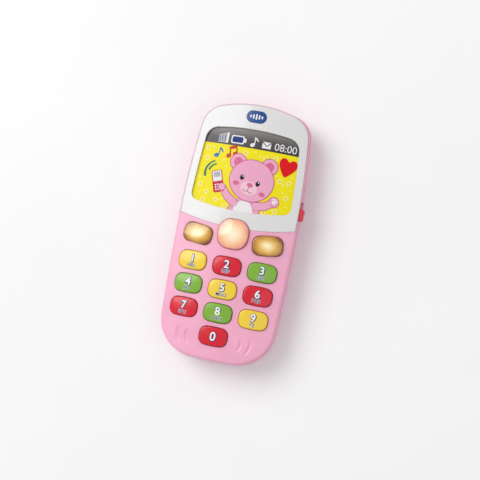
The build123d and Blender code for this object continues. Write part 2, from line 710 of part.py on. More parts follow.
with BuildPart() as light_key_right:
    add(key(right_light_plan, LAMPS["right"], LIGHT_KEY_RISE, KEY_DOME_RADIUS, LIGHT_POSTS["right"]))
save(light_key_right.part, "light_key_right")

with BuildPart() as light_key_centre:
    add(key(centre_light_plan, LAMPS["centre"], CENTRE_KEY_RISE, CENTRE_KEY_DOME, LIGHT_POSTS["centre"]))
save(light_key_centre.part, "light_key_centre")

# =====================================================================================================
# Volume switch
# =====================================================================================================
with BuildPart() as volume_knob:
    with Locations((RETAINER_OUTER_X, SWITCH_Y, KNOB_BOTTOM)):
        Box(KNOB_OUT - RETAINER_OUTER_X, KNOB_LENGTH, KNOB_STEM_TOP - KNOB_BOTTOM, align=RIGHT)
    with Locations((KNOB_CAP_X, SWITCH_Y, KNOB_BOTTOM)):
        Box(KNOB_OUT - KNOB_CAP_X, KNOB_LENGTH, KNOB_TOP - KNOB_BOTTOM, align=RIGHT)
    fillet(volume_knob.faces().sort_by(Axis.X)[-1].edges(), KNOB_ROUND)
    with Locations(*[(KNOB_OUT, SWITCH_Y + step, KNOB_BOTTOM) for step in (-1.3, 0, 1.3)]):
        Cylinder(0.3, THICKNESS, align=UP, mode=Mode.SUBTRACT)
    with Locations((RETAINER_INNER_X, SWITCH_Y, RETAINER_BOTTOM)):
        Box(RETAINER_OUTER_X - RETAINER_INNER_X, 2 * RETAINER_HALF_LENGTH, KNOB_STEM_TOP - RETAINER_BOTTOM,
            align=RIGHT)
    with Locations(*[
        (FORK_INNER_X, SWITCH_Y + side * (FORK_SLOT + PRONG) / 2, RETAINER_BOTTOM) for side in (-1, 1)
    ]):
        Box(RETAINER_INNER_X - FORK_INNER_X, PRONG, LEVER_HIGH_Z + 0.2 - RETAINER_BOTTOM, align=RIGHT)
save(volume_knob.part, "volume_knob")

with BuildPart() as switch_lever:
    with Locations((SWITCH_BODY_X[1] - 0.8, SWITCH_Y, LEVER_LOW_Z)):
        Box(LEVER_TIP_X - SWITCH_BODY_X[1] + 0.8, LEVER_WIDTH, LEVER_HIGH_Z - LEVER_LOW_Z, align=RIGHT)
save(switch_lever.part, "switch_lever")

with BuildPart() as switch_body:
    with Locations((SWITCH_BODY_X[0], SWITCH_Y + SWITCH_TRAVEL / 2, SWITCH_BODY_Z[0])):
        Box(SWITCH_BODY_X[1] - SWITCH_BODY_X[0], SWITCH_BODY_LENGTH, SWITCH_BODY_Z[1] - SWITCH_BODY_Z[0],
            align=RIGHT)
    with Locations((SWITCH_BODY_X[1] - 1.0, SWITCH_Y + SWITCH_TRAVEL / 2, LEVER_LOW_Z - 0.2)):
        Box(2.0, LEVER_WIDTH + SWITCH_TRAVEL + 0.6, LEVER_HIGH_Z - LEVER_LOW_Z + 0.4, align=RIGHT,
            mode=Mode.SUBTRACT)
save(switch_body.part, "switch_body")

# =====================================================================================================
# Battery door, batteries and contacts
# =====================================================================================================
with BuildPart() as battery_door:
    with BuildSketch(Plane.XY.offset(DOOR_LIFT)):
        with Locations((0, DOOR_MIDDLE_Y)):
            RectangleRounded(2 * (DOOR_HALF_WIDTH - DOOR_GAP), DOOR_LENGTH - 2 * DOOR_GAP, DOOR_CORNER - DOOR_GAP)
    extrude(amount=DOOR_THICKNESS)
    # Two hooks: a foot on the door, then a tongue that runs past its end
    foot_low = DOOR_LOW_Y + DOOR_GAP
    for side in (-1, 1):
        with Locations((side * TAB_X, foot_low + TAB_BASE / 2, DOOR_LIFT + DOOR_THICKNESS)):
            Box(TAB_WIDTH, TAB_BASE, TAB_LIFT + TAB_THICKNESS, align=UP)
        with Locations((side * TAB_X, foot_low + TAB_BASE / 2 - TAB_REACH / 2,
                        DOOR_LIFT + DOOR_THICKNESS + TAB_LIFT)):
            Box(TAB_WIDTH, TAB_BASE + TAB_REACH, TAB_THICKNESS, align=UP)
    # Screw hole with a seat for the screw's head, and a thumb groove either side of it
    with Locations((0, DOOR_SCREW_Y, 0)):
        Cylinder(DOOR_SCREW_RADIUS + 0.2, THICKNESS, align=UP, mode=Mode.SUBTRACT)
        Cylinder(DOOR_SCREW_WELL_RADIUS, DOOR_SCREW_SEAT, align=UP, mode=Mode.SUBTRACT)
    with Locations(*[(side * 8.0, DOOR_SCREW_Y + step, 0) for side in (-1, 1) for step in (-1.6, 0, 1.6)]):
        Box(5.0, 0.7, DOOR_LIFT + 0.4, align=UP, mode=Mode.SUBTRACT)
save(battery_door.part, "battery_door")


def screws(places, seat, head_radius, head_height, shank_radius, tip):
    """Cross-slotted screws pointing up, their heads under the seat."""
    slot = head_radius * 1.3
    with BuildPart() as group:
        with Locations(*[(x, y, seat) for x, y in places]):
            Cylinder(head_radius, head_height, align=(Align.CENTER, Align.CENTER, Align.MAX))
        fillet(group.edges().filter_by(GeomType.CIRCLE).group_by(Axis.Z)[0], head_height * 0.3)
        with Locations(*[(x, y, seat - head_height) for x, y in places]):
            Box(slot, 0.5, head_height * 1.1, mode=Mode.SUBTRACT)
            Box(0.5, slot, head_height * 1.1, mode=Mode.SUBTRACT)
        with Locations(*[(x, y, seat) for x, y in places]):
            Cylinder(shank_radius, tip - seat, align=UP)
    return group.part


def screws_down(places, seat, head_radius, head_height, shank_radius, tip):
    """Cross-slotted screws pointing down, their heads on the seat."""
    slot = head_radius * 1.3
    with BuildPart() as group:
        with Locations(*[(x, y, seat) for x, y in places]):
            Cylinder(head_radius, head_height, align=UP)
        with Locations(*[(x, y, seat + head_height) for x, y in places]):
            Box(slot, 0.5, head_height * 1.1, mode=Mode.SUBTRACT)
            Box(0.5, slot, head_height * 1.1, mode=Mode.SUBTRACT)
        with Locations(*[(x, y, tip) for x, y in places]):
            Cylinder(shank_radius, seat - tip, align=UP)
    return group.part


with BuildPart() as door_screw:
    add(screws([(0, DOOR_SCREW_Y)], DOOR_SCREW_SEAT, DOOR_SCREW_HEAD_RADIUS, 0.95, DOOR_SCREW_RADIUS, DOOR_SCREW_TIP))
save(door_screw.part, "door_screw")

with BuildPart() as casing_screws:
    add(screws(CASING_SCREWS, SCREW_SEAT, SCREW_HEAD_RADIUS, SCREW_HEAD_HEIGHT, SCREW_RADIUS, SCREW_TIP))
save(casing_screws.part, "casing_screws")

with BuildPart() as board_screws:
    add(screws(BOARD_SCREWS, BOARD_BOTTOM, BOARD_SCREW_HEAD_RADIUS, 1.2, BOARD_SCREW_RADIUS, BOARD_SCREW_TIP))
save(board_screws.part, "board_screws")


def battery(x, nub_end):
    """A cell along Y; nub_end is +1 when its nub points to the earpiece end."""
    plate = BAY_HIGH_Y - CONTACT_THICKNESS if nub_end > 0 else BAY_LOW_Y + CONTACT_THICKNESS
    nub_tip = plate - nub_end * 0.02
    shoulder = nub_tip - nub_end * BATTERY_NUB
    facing = (-90 * nub_end, 0, 0)
    with BuildPart() as cell:
        with Locations(Location((x, shoulder, BATTERY_Z), facing)):
            Cylinder(BATTERY_RADIUS, BATTERY_BODY, align=(Align.CENTER, Align.CENTER, Align.MAX))
        fillet(cell.edges().filter_by(GeomType.CIRCLE), 0.5)
        with Locations(Location((x, shoulder, BATTERY_Z), facing)):
            Cylinder(BATTERY_NUB_RADIUS, BATTERY_NUB, align=UP)
    return cell.part


with BuildPart() as battery_left:
    add(battery(-BATTERY_X, 1))
save(battery_left.part, "battery_left")

with BuildPart() as battery_right:
    add(battery(BATTERY_X, -1))
save(battery_right.part, "battery_right")

with BuildPart() as battery_contacts:
    """A bridge across both cells at the lower end and a plate for each at the upper end."""
    contact_bottom = 3.4
    contact_height = 8.4
    with Locations((0, BAY_LOW_Y + CONTACT_THICKNESS / 2, contact_bottom)):
        Box(2 * (BATTERY_X + 4.4), CONTACT_THICKNESS, contact_height, align=UP)
    with Locations(*[(side * BATTERY_X, BAY_HIGH_Y - CONTACT_THICKNESS / 2, contact_bottom) for side in (-1, 1)]):
        Box(8.8, CONTACT_THICKNESS, contact_height, align=UP)
save(battery_contacts.part, "battery_contacts")


def spring(x, end):
    """A tapering coil from a contact plate to a cell; end is +1 at the bay's upper end."""
    wire = SPRING_WIRE / 2
    plate = BAY_HIGH_Y - CONTACT_THICKNESS if end > 0 else BAY_LOW_Y + CONTACT_THICKNESS
    cell = (BAY_LOW_Y if end > 0 else BAY_HIGH_Y) + end * (CONTACT_THICKNESS + 0.02 + BATTERY_NUB + BATTERY_BODY)
    room = abs(plate - cell) - 2 * wire - 0.1
    lean = -degrees(atan2(SPRING_FOOT_RADIUS - SPRING_TIP_RADIUS, room))
    with BuildPart() as coil:
        with BuildLine() as path:
            Helix(room / SPRING_TURNS, room, SPRING_FOOT_RADIUS, cone_angle=lean)
        with BuildSketch(Plane(origin=path.line @ 0, z_dir=path.line % 0)):
            Circle(wire)
        sweep(is_frenet=True)
    turned = Rotation(90 * end, 0, 0) * coil.part
    return Pos(x, plate - end * (wire + 0.05), BATTERY_Z) * turned


with BuildPart() as battery_springs:
    add(spring(-BATTERY_X, -1))
    add(spring(BATTERY_X, 1))
save(battery_springs.part, "battery_springs")

# =====================================================================================================
# Circuit board, its parts and the rubber key sheet
# =====================================================================================================
with BuildPart() as circuit_board:
    with BuildSketch(Plane.XY.offset(BOARD_BOTTOM)):
        with Locations((0, (BOARD_HIGH_Y + BOARD_LOW_Y) / 2)):
            RectangleRounded(2 * BOARD_HALF_WIDTH, BOARD_HIGH_Y - BOARD_LOW_Y, BOARD_CORNER)
        with Locations((0, (BOARD_TAIL_Y + BOARD_LOW_Y) / 2 + BOARD_CORNER / 2)):
            RectangleRounded(2 * BOARD_TAIL_HALF_WIDTH, BOARD_LOW_Y - BOARD_TAIL_Y + BOARD_CORNER, 2.0)
        with Locations(*BOARD_SCREWS):
            Circle(BOARD_SCREW_RADIUS + 0.15, mode=Mode.SUBTRACT)
        with Locations(CASING_SCREWS[-1]):
            Circle(BOSS_RADIUS + 0.1, mode=Mode.SUBTRACT)
    extrude(amount=BOARD_THICKNESS)
save(circuit_board.part, "circuit_board")

KEY_SHEET_HALF_WIDTH = 30.3
DOME_PLACES = list(KEYS.values()) + [place for posts in LIGHT_POSTS.values() for place in posts]

with BuildPart() as key_sheet:
    with BuildSketch(Plane.XY.offset(BOARD_TOP)):
        with Locations((0, -24.2)):
            RectangleRounded(2 * KEY_SHEET_HALF_WIDTH, 60.0, 3.0)
        with Locations((0, ROW_Y[3])):
            RectangleRounded(16.0, 16.0, 2.0)
        with Locations(*LAMPS.values()):
            Circle(LAMP_FLANGE_RADIUS + 0.4, mode=Mode.SUBTRACT)
    extrude(amount=SHEET_THICKNESS)
    with Locations(*[(x, y, BOARD_TOP) for x, y in DOME_PLACES]):
        Cone(DOME_FOOT_RADIUS, DOME_TOP_RADIUS, DOME_TOP - BOARD_TOP, align=UP)
        Cone(DOME_FOOT_RADIUS - 0.7, DOME_TOP_RADIUS - 0.7, DOME_TOP - BOARD_TOP - 0.8, align=UP, mode=Mode.SUBTRACT)
save(key_sheet.part, "key_sheet")


def lamp(place):
    """A round-topped lamp standing on the board."""
    with BuildPart() as body:
        with Locations((*place, BOARD_TOP)):
            Cylinder(LAMP_FLANGE_RADIUS, LAMP_FLANGE_HEIGHT, align=UP)
            Cylinder(LAMP_RADIUS, LAMP_TOP - BOARD_TOP, align=UP)
        fillet(body.edges().filter_by(GeomType.CIRCLE).sort_by(Axis.Z)[-1], LAMP_RADIUS - 0.05)
    return body.part


with BuildPart() as lamp_left:
    add(lamp(LAMPS["left"]))
save(lamp_left.part, "lamp_left")

with BuildPart() as lamp_right:
    add(lamp(LAMPS["right"]))
save(lamp_right.part, "lamp_right")

with BuildPart() as lamp_centre:
    add(lamp(LAMPS["centre"]))
save(lamp_centre.part, "lamp_centre")

with BuildPart() as chip_blob:
    """The sound chip under its drop of black resin, on the underside of the board."""
    with Locations((-12.5, 23.5, BOARD_BOTTOM)):
        Cylinder(4.6, 1.4, align=(Align.CENTER, Align.CENTER, Align.MAX))
    fillet(chip_blob.edges().filter_by(GeomType.CIRCLE).group_by(Axis.Z)[0], 1.3)
save(chip_blob.part, "chip_blob")

SMALL_PARTS_BOTTOM = BOARD_BOTTOM - 0.02
with BuildPart() as board_components:
    """Capacitor, resonator and chip resistors on the underside of the board."""
    hung = (Align.CENTER, Align.CENTER, Align.MAX)
    with Locations((-14.0, 8.5, SMALL_PARTS_BOTTOM)):
        Cylinder(2.5, 5.4, align=hung)
    with Locations((11.5, 24.5, SMALL_PARTS_BOTTOM)):
        Box(7.0, 3.2, 2.4, align=hung)
    with Locations(*[(x, y, SMALL_PARTS_BOTTOM) for x in (8.0, 12.0, 16.0) for y in (11.0, 14.5, 18.0)]):
        Box(2.0, 1.25, 0.6, align=hung)
save(board_components.part, "board_components")

# =====================================================================================================
# Speaker
# =====================================================================================================
def turned(profile, centre_y):
    """A profile of (radius, height) points turned about an upright axis on the phone's centre line."""
    with BuildPart() as shape:
        with BuildSketch(Plane.XZ.offset(-centre_y)):
            with BuildLine():
                Polyline(*profile, close=True)
            make_face()
        revolve(axis=Axis((0, centre_y, 0), (0, 0, 1)))
    return shape.part


with BuildPart() as speaker_frame:
    add(turned([(SPEAKER_RADIUS, SPEAKER_RIM_BOTTOM), (SPEAKER_RADIUS, SPEAKER_RIM_TOP), (12.2, SPEAKER_RIM_TOP),
                (9.4, SPEAKER_BASKET_TOP), (0, SPEAKER_BASKET_TOP), (0, SPEAKER_BASKET_TOP - 1.0),
                (8.9, SPEAKER_BASKET_TOP - 1.0), (11.6, 4.0), (12.0, SPEAKER_RIM_BOTTOM)], SPEAKER_Y))
save(speaker_frame.part, "speaker_frame")

with BuildPart() as speaker_cone:
    add(turned([(11.7, 3.3), (11.7, 3.6), (10.6, 4.0), (4.0, 6.4), (2.0, 5.8), (0, 5.6), (0, 5.3), (2.0, 5.5),
                (3.9, 6.1), (10.5, 3.7), (11.4, 3.3)], SPEAKER_Y))
save(speaker_cone.part, "speaker_cone")

with BuildPart() as speaker_magnet:
    with Locations((0, SPEAKER_Y, SPEAKER_BASKET_TOP + 0.02)):
        Cylinder(MAGNET_RADIUS, MAGNET_TOP - SPEAKER_BASKET_TOP, align=UP)
    fillet(speaker_magnet.edges().filter_by(GeomType.CIRCLE).sort_by(Axis.Z)[-1], 0.4)
save(speaker_magnet.part, "speaker_magnet")

CLAMP_PLACES = [(-CLAMP_RADIUS, SPEAKER_Y), (CLAMP_RADIUS, SPEAKER_Y)]
with BuildPart() as speaker_clamp:
    with BuildSketch(Plane.XY.offset(SPEAKER_RIM_TOP + 0.05)):
        with Locations((0, SPEAKER_Y)):
            Circle(SPEAKER_RADIUS + 1.3)
            Rectangle(2 * CLAMP_RADIUS, 2 * CLAMP_EAR_RADIUS)
        with Locations(*CLAMP_PLACES):
            Circle(CLAMP_EAR_RADIUS)
        with Locations((0, SPEAKER_Y)):
            Circle(12.9, mode=Mode.SUBTRACT)
        with Locations(*CLAMP_PLACES):
            Circle(CLAMP_SCREW_RADIUS + 0.2, mode=Mode.SUBTRACT)
    extrude(amount=1.0)
save(speaker_clamp.part, "speaker_clamp")

with BuildPart() as speaker_screws:
    add(screws_down(CLAMP_PLACES, SPEAKER_RIM_TOP + 1.1, 1.8, 1.0, CLAMP_SCREW_RADIUS - 0.02, WALL + 0.4))
save(speaker_screws.part, "speaker_screws")


def wire(points, radius=0.45):
    """An insulated wire along a smooth curve."""
    with BuildPart() as cord:
        with BuildLine() as path:
            Spline(*points)
        with BuildSketch(Plane(origin=path.line @ 0, z_dir=path.line % 0)):
            Circle(radius)
        sweep()
    return cord.part


with BuildPart() as speaker_wires:
    add(wire([(-10.4, 40.0, 9.2), (-12.0, 33.0, 9.6), (-9.0, 28.4, 11.4), (-7.5, 27.6, 13.6)]))
    add(wire([(10.4, 40.0, 9.2), (11.5, 33.0, 9.6), (6.0, 28.6, 11.4), (-2.0, 27.6, 13.6)]))
save(speaker_wires.part, "speaker_wires")

with BuildPart() as battery_wires:
    for side in (-1, 1):
        add(wire([(side * WIRE_HOLE_X, BAY_HIGH_Y + 0.1, WIRE_HOLE_Z), (side * WIRE_HOLE_X, -3.6, WIRE_HOLE_Z),
                  (side * 9.6, -0.6, 11.6), (side * 9.8, 1.6, 13.8)]))
save(battery_wires.part, "battery_wires")
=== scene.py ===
"""Toy cell phone: plastics, printed keys, screen picture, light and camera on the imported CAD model."""

from math import cos, pi, radians, sin

import bmesh
import bpy
from mathutils import Matrix, Vector
from mathutils.bvhtree import BVHTree


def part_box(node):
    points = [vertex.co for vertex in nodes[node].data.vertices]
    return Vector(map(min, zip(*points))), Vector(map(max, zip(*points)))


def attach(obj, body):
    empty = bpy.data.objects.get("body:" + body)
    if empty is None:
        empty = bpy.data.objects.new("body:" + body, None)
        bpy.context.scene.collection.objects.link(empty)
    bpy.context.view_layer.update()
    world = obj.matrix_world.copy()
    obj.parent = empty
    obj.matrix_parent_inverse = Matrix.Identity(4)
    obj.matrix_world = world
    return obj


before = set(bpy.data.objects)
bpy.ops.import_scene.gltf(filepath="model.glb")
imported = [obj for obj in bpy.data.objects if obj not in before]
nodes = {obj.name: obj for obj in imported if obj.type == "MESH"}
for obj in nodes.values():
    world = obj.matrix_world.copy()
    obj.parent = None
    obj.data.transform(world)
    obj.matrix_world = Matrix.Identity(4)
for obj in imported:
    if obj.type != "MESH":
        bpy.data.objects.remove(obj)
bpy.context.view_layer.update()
MM = 0.001

# ---- Colours, linear ----------------------------------------------------------------------------------
PINK = (0.89, 0.41, 0.575)
WHITE_SHELL = (0.72, 0.71, 0.71)
YELLOW_KEY = (0.90, 0.62, 0.035)
RED_KEY = (0.68, 0.001, 0.020)
GREEN_KEY = (0.20, 0.43, 0.030)
NAVY = (0.012, 0.025, 0.16)
PRINT_WHITE = (0.90, 0.90, 0.90)
BEAR_PINK = (0.90, 0.42, 0.60)
BEAR_DEEP = (0.74, 0.16, 0.32)
BEAR_LINE = (0.48, 0.07, 0.22)
SCREEN_YELLOW = (0.95, 0.82, 0.006)
PRINT_SHINE = 0.15  # printed ink reflects little


# =======================================================================================================
# Materials
# =======================================================================================================
class Nodes:
    """Short calls for building one material's node tree."""

    def __init__(self, name):
        self.material = bpy.data.materials.new(name)
        self.material.use_nodes = True
        self.tree = self.material.node_tree
        self.shader = self.tree.nodes["Principled BSDF"]

    def add(self, kind, **settings):
        node = self.tree.nodes.new(kind)
        for key, value in settings.items():
            if hasattr(node, key):
                setattr(node, key, value)
            else:
                node.inputs[key].default_value = value
        return node

    def link(self, output, target):
        self.tree.links.new(output, target)

    def place(self):
        """Coordinates in the row frame, in metres."""
        return self.add("ShaderNodeTexCoord").outputs["Object"]

    def noise(self, scale, detail=3.0):
        node = self.add("ShaderNodeTexNoise", Scale=scale, Detail=detail)
        self.link(self.place(), node.inputs["Vector"])
        return node.outputs["Fac"]

    def ramp(self, factor, stops):
        node = self.add("ShaderNodeValToRGB")
        band = node.color_ramp
        while len(band.elements) < len(stops):
            band.elements.new(0.5)
        for element, (position, colour) in zip(band.elements, stops):
            element.position = position
            element.color = (*colour, 1.0)
        self.link(factor, node.inputs["Fac"])
        return node.outputs["Color"]

    def spread(self, factor, low, high):
        """factor mapped from its usual 0.3 to 0.7 onto low to high."""
        node = self.add("ShaderNodeMapRange")
        for name, value in (("From Min", 0.3), ("From Max", 0.7), ("To Min", low), ("To Max", high)):
            node.inputs[name].default_value = value
        self.link(factor, node.inputs["Value"])
        return node.outputs["Result"]

    def bump(self, height, distance, strength=1.0, under=None):
        node = self.add("ShaderNodeBump", Strength=strength, Distance=distance)
        self.link(height, node.inputs["Height"])
        if under is not None:
            self.link(under, node.inputs["Normal"])
        return node.outputs["Normal"]


def shade(colour, amount):
    return tuple(min(1.0, channel * amount) for channel in colour)


def plastic(name, colour, roughness=0.3, grain=0.00001, mottling=0.05, coat=0.0, soft=0.0):
    """Moulded plastic: a faint mottle in the colour, uneven gloss and a fine moulded grain."""
    m = Nodes(name)
    cloud = m.noise(90.0, 4.0)
    m.link(m.ramp(cloud, [(0.3, shade(colour, 1 - mottling)), (0.7, shade(colour, 1 + mottling / 2))]),
           m.shader.inputs["Base Color"])
    m.link(m.spread(m.noise(420.0, 5.0), roughness * 0.85, roughness * 1.2), m.shader.inputs["Roughness"])
    swell = m.bump(m.noise(160.0, 2.0), grain * 4, 0.35)
    m.link(m.bump(m.noise(5200.0, 2.0), grain, 0.5, swell), m.shader.inputs["Normal"])
    m.shader.inputs["Coat Weight"].default_value = coat
    m.shader.inputs["Coat Roughness"].default_value = 0.08
    m.shader.inputs["Subsurface Weight"].default_value = soft
    m.shader.inputs["Subsurface Radius"].default_value = (0.004, 0.002, 0.002)
    m.shader.inputs["Subsurface Scale"].default_value = 1.0
    return m.material


def metal(name, colour, roughness=0.35):
    """Plated metal with fine scratches along X and a slight tarnish."""
    m = Nodes(name)
    stretch = m.add("ShaderNodeMapping", Scale=(120.0, 4000.0, 4000.0))
    m.link(m.place(), stretch.inputs["Vector"])
    scratch = m.add("ShaderNodeTexNoise", Scale=1.0, Detail=4.0)
    m.link(stretch.outputs["Vector"], scratch.inputs["Vector"])
    m.link(m.spread(scratch.outputs["Fac"], roughness * 0.7, roughness * 1.4), m.shader.inputs["Roughness"])
    m.link(m.ramp(m.noise(300.0), [(0.3, shade(colour, 0.85)), (0.7, colour)]), m.shader.inputs["Base Color"])
    m.shader.inputs["Metallic"].default_value = 1.0
    return m.material


def distance_from(m, centre, half_width, half_height, wobble=0.0):
    """0 at centre and 1 on the ellipse of those half sizes, in plan; wobble breaks the ellipse up."""
    away = m.add("ShaderNodeVectorMath", operation="SUBTRACT")
    m.link(m.place(), away.inputs[0])
    away.inputs[1].default_value = (centre[0], centre[1], 0.0)
    scaled = m.add("ShaderNodeVectorMath", operation="MULTIPLY")
    m.link(away.outputs["Vector"], scaled.inputs[0])
    scaled.inputs[1].default_value = (1 / half_width, 1 / half_height, 0.0)
    length = m.add("ShaderNodeVectorMath", operation="LENGTH")
    m.link(scaled.outputs["Vector"], length.inputs[0])
    ripple = m.add("ShaderNodeMath", operation="MULTIPLY_ADD")
    m.link(m.noise(330.0, 3.0), ripple.inputs[0])
    ripple.inputs[1].default_value = wobble
    m.link(length.outputs["Value"], ripple.inputs[2])
    shifted = m.add("ShaderNodeMath", operation="SUBTRACT")
    m.link(ripple.outputs["Value"], shifted.inputs[0])
    shifted.inputs[1].default_value = wobble / 2
    return shifted.outputs["Value"]


def lit_plastic(name, node, tint_and_painted_glow, glow, reach, strength, wobble=0.5):
    """Clear coloured plastic with a lamp behind it, whose light is painted in: the colour is painted lighter
    towards the middle and the glow is painted emission, both ramps from the middle outwards.
    """
    low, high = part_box(node)
    centre = (low + high) / 2
    half = (high - low) / 2 * reach
    m = Nodes(name)
    spot = distance_from(m, centre, half.x, half.y, wobble)
    # Painted light: the base colour is painted lighter towards the middle, where the lamp behind shines
    # through, and the emission paints the glow.
    m.link(m.ramp(spot, tint_and_painted_glow), m.shader.inputs["Base Color"])
    m.link(m.ramp(spot, glow), m.shader.inputs["Emission Color"])
    m.shader.inputs["Emission Strength"].default_value = strength
    m.link(m.spread(m.noise(500.0), 0.06, 0.14), m.shader.inputs["Roughness"])
    m.link(m.bump(m.noise(260.0, 2.0), 0.00004, 0.5), m.shader.inputs["Normal"])
    m.shader.inputs["Coat Weight"].default_value = 0.6
    m.shader.inputs["Coat Roughness"].default_value = 0.05
    return m.material


def clear_window():
    """Clear polystyrene: mostly seen through, with gloss that grows at a slant."""
    m = Nodes("clear_window")
    m.link(m.ramp(m.noise(40.0), [(0.3, (0.06, 0.06, 0.065)), (0.7, (0.10, 0.10, 0.10))]),
           m.shader.inputs["Base Color"])
    m.link(m.spread(m.noise(350.0, 4.0), 0.03, 0.08), m.shader.inputs["Roughness"])
    m.shader.inputs["Alpha"].default_value = 0.03
    return m.material


def bar_fade():
    """The status bar: black at its foot, grey at the top of the screen."""
    m = Nodes("status_bar")
    split = m.add("ShaderNodeSeparateXYZ")
    m.link(m.place(), split.inputs["Vector"])
    climb = m.add("ShaderNodeMapRange")
    for name, value in (("From Min", 0.0495), ("From Max", 0.0612), ("To Min", 0.0), ("To Max", 1.0)):
        climb.inputs[name].default_value = value
    m.link(split.outputs["Y"], climb.inputs["Value"])
    m.link(m.ramp(climb.outputs["Result"],
                  [(0.0, (0.035, 0.025, 0.025)), (0.4, (0.06, 0.05, 0.05)), (1.0, (0.27, 0.255, 0.245))]),
           m.shader.inputs["Base Color"])
    m.link(m.spread(m.noise(900.0), 0.3, 0.45), m.shader.inputs["Roughness"])
    return m.material


def ink(name, colour, roughness=0.4):
    """Printed ink: nearly even, with the print's slight mottle."""
    m = Nodes(name)
    m.shader.inputs["Specular IOR Level"].default_value = PRINT_SHINE
    m.link(m.ramp(m.noise(1500.0, 2.0), [(0.3, shade(colour, 0.96)), (0.7, shade(colour, 1.02))]),
           m.shader.inputs["Base Color"])
    m.link(m.spread(m.noise(2500.0), roughness * 0.85, roughness * 1.15), m.shader.inputs["Roughness"])
    return m.material


def dress(material, *names):
    """Puts one material on CAD nodes or pieces."""
    for name in names:
        thing = nodes[name] if isinstance(name, str) else name
        thing.data.materials.clear()
        thing.data.materials.append(material)


# =======================================================================================================
# Flat artwork laid on a curved part
# =======================================================================================================
class Ground:
    """The upper surface of a CAD node, for laying prints on."""

    def __init__(self, *names):
        self.trees = []
        for name in names:
            mesh = nodes[name].data
            mesh.calc_loop_triangles()
            corners = [vertex.co.copy() for vertex in mesh.vertices]
            self.trees.append(BVHTree.FromPolygons(corners, [tuple(t.vertices) for t in mesh.loop_triangles]))

    def height(self, x, y):
        for tree in self.trees:
            hit, *_ = tree.ray_cast(Vector((x, y, 0.1)), Vector((0, 0, -1)))
            if hit is not None:
                return hit.z
        return None


def cut_grid(bm, step):
    """Cuts flat faces along a grid so that they can bend with what they lie on."""
    for axis in (0, 1):
        values = [vertex.co[axis] for vertex in bm.verts]
        line = (int(min(values) / step) - 1) * step
        while line < max(values):
            if line > min(values):
                normal = Vector((1, 0, 0)) if axis == 0 else Vector((0, 1, 0))
                bmesh.ops.bisect_plane(bm, geom=bm.verts[:] + bm.edges[:] + bm.faces[:],
                                       plane_co=normal * line, plane_no=normal)
            line += step


def lay(name, bm, ground, low, high, body, material, step=1.2):
    """Turns flat faces, in millimetres, into a thin closed print from low to high over the ground."""
    bmesh.ops.triangulate(bm, faces=bm.faces[:])
    cut_grid(bm, step)
    bmesh.ops.remove_doubles(bm, verts=bm.verts[:], dist=0.004)
    bmesh.ops.dissolve_degenerate(bm, edges=bm.edges[:], dist=0.002)
    bmesh.ops.triangulate(bm, faces=bm.faces[:])
    for face in bm.faces:
        face.normal_update()
        if face.normal.z < 0:
            face.normal_flip()
    fallback = None
    for vertex in bm.verts:
        top = ground.height(vertex.co.x * MM, vertex.co.y * MM)
        fallback = top if top is not None else fallback
        vertex.co.z = (top if top is not None else fallback) / MM + low
    raised = bmesh.ops.extrude_face_region(bm, geom=bm.faces[:], use_keep_orig=True)
    for item in raised["geom"]:
        if isinstance(item, bmesh.types.BMVert):
            item.co.z += high - low
    bmesh.ops.recalc_face_normals(bm, faces=bm.faces[:])
    bmesh.ops.scale(bm, vec=(MM, MM, MM), verts=bm.verts[:])
    mesh = bpy.data.meshes.new(name)
    bm.to_mesh(mesh)
    bm.free()
    piece = bpy.data.objects.new(name, mesh)
    bpy.context.scene.collection.objects.link(piece)
    mesh.materials.append(material)
    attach(piece, body)
    return piece


def flat(*outlines):
    """Flat faces from outlines in millimetres."""
    bm = bmesh.new()
    for points in outlines:
        bm.faces.new([bm.verts.new((x, y, 0)) for x, y in points])
    return bm


def turn(points, centre, degrees):
    c, s = cos(radians(degrees)), sin(radians(degrees))
    cx, cy = centre
    return [(cx + (x - cx) * c - (y - cy) * s, cy + (x - cx) * s + (y - cy) * c) for x, y in points]


def oval(cx, cy, rx, ry=None, lean=0.0, count=40):
    ry = rx if ry is None else ry
    ring = [(cx + rx * cos(2 * pi * i / count), cy + ry * sin(2 * pi * i / count)) for i in range(count)]
    return turn(ring, (cx, cy), lean)


def box(cx, cy, width, height, corner=0.0, lean=0.0):
    x, y = width / 2, height / 2
    if corner <= 0:
        points = [(cx - x, cy - y), (cx + x, cy - y), (cx + x, cy + y), (cx - x, cy + y)]
        return turn(points, (cx, cy), lean)
    points = []
    for quarter, (sx, sy) in enumerate(((1, 1), (-1, 1), (-1, -1), (1, -1))):
        for i in range(7):
            angle = pi / 2 * (quarter + i / 6)
            points.append((cx + sx * (x - corner) + corner * cos(angle),
                           cy + sy * (y - corner) + corner * sin(angle)))
    return turn(points, (cx, cy), lean)


def smooth(points, steps=6):
    """A closed curve through the points."""
    curve = []
    count = len(points)
    for i in range(count):
        p0, p1, p2, p3 = (Vector(points[(i + k) % count]) for k in (-1, 0, 1, 2))
        for step in range(steps):
            t = step / steps
            curve.append(tuple(0.5 * (2 * p1 + (p2 - p0) * t + (2 * p0 - 5 * p1 + 4 * p2 - p3) * t**2
                                      + (3 * p1 - p0 - 3 * p2 + p3) * t**3)))
    return curve


def stroke(points, width, end_width=None):
    """A ribbon along a line of points, with round ends."""
    end_width = width if end_width is None else end_width
    line = [Vector(p) for p in points]
    left, right = [], []
    last = len(line) - 1
    for i, point in enumerate(line):
        along = (line[min(i + 1, last)] - line[max(i - 1, 0)]).normalized()
        across = Vector((-along.y, along.x)) * (width + (end_width - width) * i / last) / 2
        left.append(point + across)
        right.append(point - across)
    tail, head = [], []
    for k in range(1, 6):
        turn_by = Matrix.Rotation(-pi * k / 6, 2)
        head.append(line[-1] + turn_by @ (left[-1] - line[-1]))
        tail.append(line[0] + turn_by @ (right[0] - line[0]))
    return [tuple(p) for p in left + head + right[::-1] + tail]


